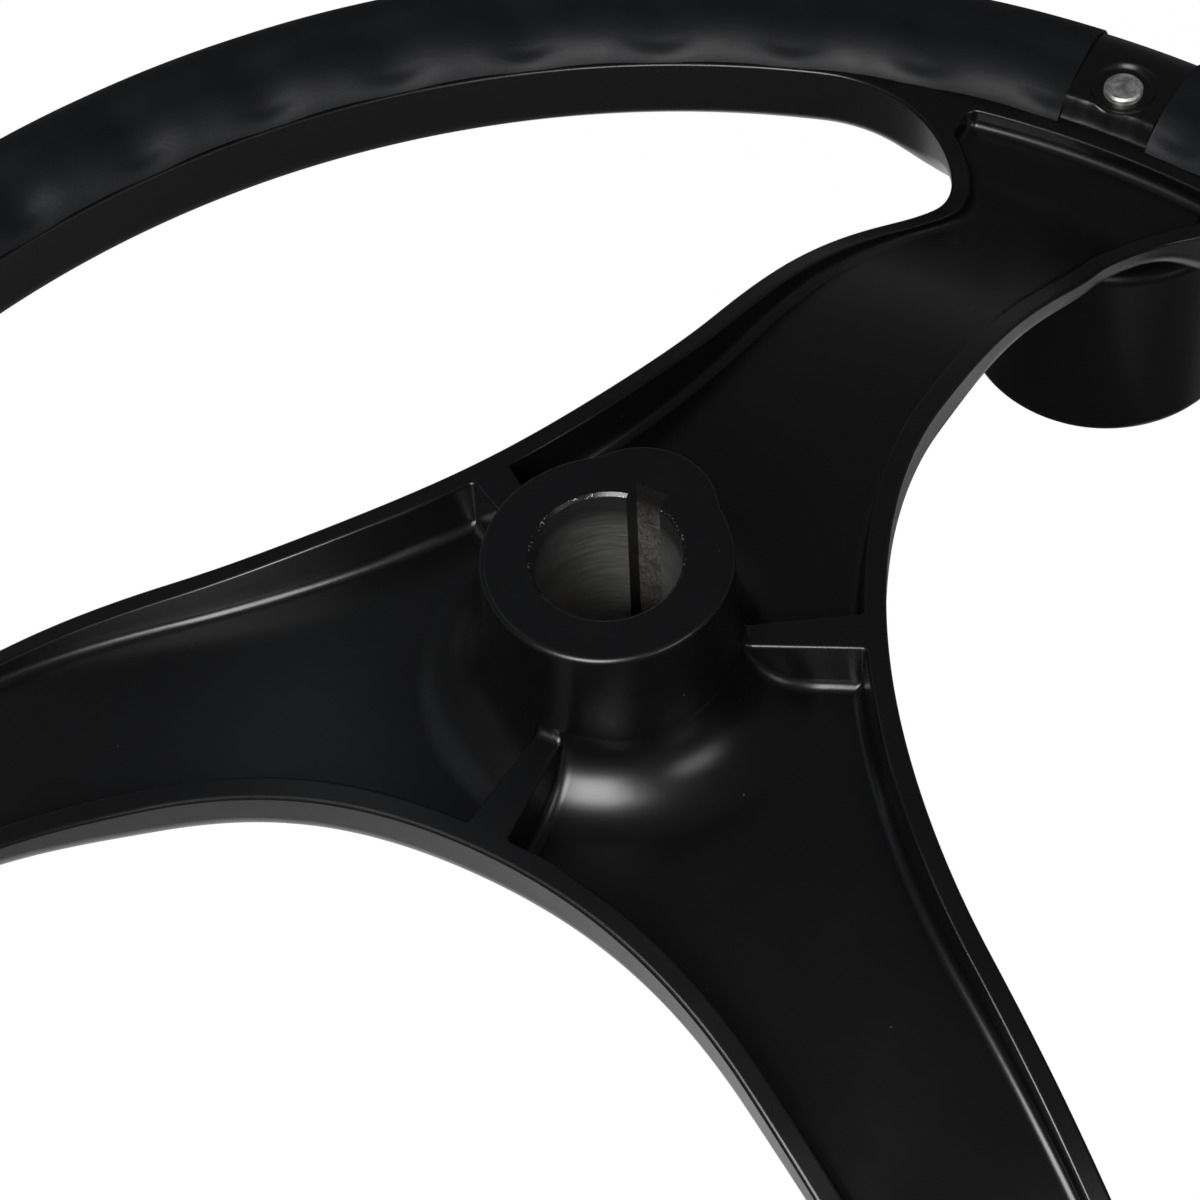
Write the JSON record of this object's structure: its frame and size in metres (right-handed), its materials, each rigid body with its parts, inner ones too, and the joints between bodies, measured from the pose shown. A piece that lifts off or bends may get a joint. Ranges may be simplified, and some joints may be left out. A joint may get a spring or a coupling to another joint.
{
  "type": "boat steering wheel",
  "caption": "Dished boat steering wheel with a foam grip, cast spokes, a tapered keyed shaft bore and a turning control knob on the rim.",
  "frame": {"origin": "on the shaft bore's axis, in the back face of the hub boss", "axes": "+Z along the bore towards the helm it mounts on, +Y along the spoke that carries the knob, +X to the right seen from the back"},
  "size_m": [0.3556, 0.3648, 0.1313],
  "materials": {
    "coated_metal": "near-black semi-gloss powder coat",
    "grip_foam": "smooth moulded skin",
    "cap_plastic": "semi-gloss",
    "seal_rubber": "matte",
    "stainless": "satin turned",
    "knob_plastic": "satin",
    "bearing_steel": "ground",
    "bearing_balls": "polished",
    "cage_plastic": "moulded"
  },
  "bodies": {
    "wheel": {"wheel_casting": "coated_metal", "foam_grip": "grip_foam", "hub_cap": "cap_plastic", "hub_cap_sealing_ring": "seal_rubber", "knob_stud": "stainless", "knob_thrust_washer": "stainless", "bearing_spacer": "stainless", "rim_bearing_inner_ring": "bearing_steel", "cap_bearing_inner_ring": "bearing_steel"},
    "knob": {"knob_body": "knob_plastic", "knob_cap": "knob_plastic", "rim_bearing_outer_ring": "bearing_steel", "rim_bearing_rim_shield": "bearing_steel", "rim_bearing_cap_shield": "bearing_steel", "cap_bearing_outer_ring": "bearing_steel", "cap_bearing_rim_shield": "bearing_steel", "cap_bearing_cap_shield": "bearing_steel"},
    "rim_ball_set": {"rim_bearing_balls": "bearing_balls", "rim_bearing_cage": "cage_plastic"},
    "cap_ball_set": {"cap_bearing_balls": "bearing_balls", "cap_bearing_cage": "cage_plastic"}
  },
  "joints": [
    {"name": "knob_spin", "type": "hinge", "parent": "wheel", "child": "knob", "pos_m": [0, 0.163, -0.111], "axis": [0, 0, 1], "continuous": true},
    {"name": "rim_ball_set_spin", "type": "hinge", "parent": "wheel", "child": "rim_ball_set", "pos_m": [0, 0.163, -0.0948], "axis": [0, 0, 1], "continuous": true},
    {"name": "cap_ball_set_spin", "type": "hinge", "parent": "wheel", "child": "cap_ball_set", "pos_m": [0, 0.163, -0.1178], "axis": [0, 0, 1], "continuous": true}
  ],
  "couplings": [
    {"joint": "rim_ball_set_spin", "follows": "knob_spin", "ratio": 0.6323},
    {"joint": "cap_ball_set_spin", "follows": "knob_spin", "ratio": 0.6323}
  ]
}
